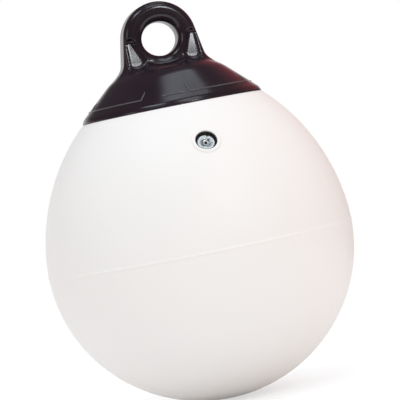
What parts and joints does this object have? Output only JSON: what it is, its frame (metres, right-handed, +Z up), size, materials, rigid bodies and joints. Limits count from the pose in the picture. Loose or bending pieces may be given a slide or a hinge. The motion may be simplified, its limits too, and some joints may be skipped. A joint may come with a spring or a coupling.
{
  "type": "inflatable buoy",
  "caption": "Hollow inflatable ball buoy with a moulded conical cap that carries a rope eye, and a recessed screw-in air valve in its shoulder.",
  "frame": {"origin": "centre of the rope eye, halfway through the lug's thickness", "axes": "+Z up out of the top of the eye, with the ball hanging below along -Z; Y runs through the eye, and the air valve is in the shoulder on the -Y side"},
  "size_m": [0.3062, 0.3062, 0.3989],
  "materials": {
    "white_vinyl": "smooth glossy white vinyl with a slight warm tint",
    "black_vinyl": "glossy purple-black moulded vinyl",
    "valve_rubber": "satin black rubber",
    "valve_nickel": "satin nickel plate",
    "septum_rubber": "matt black rubber"
  },
  "bodies": {
    "root": {"ball_shell": "white_vinyl", "rope_eye_cap": "black_vinyl", "valve_body": "valve_rubber", "valve_screw": "valve_nickel", "valve_septum": "septum_rubber"}
  },
  "joints": []
}
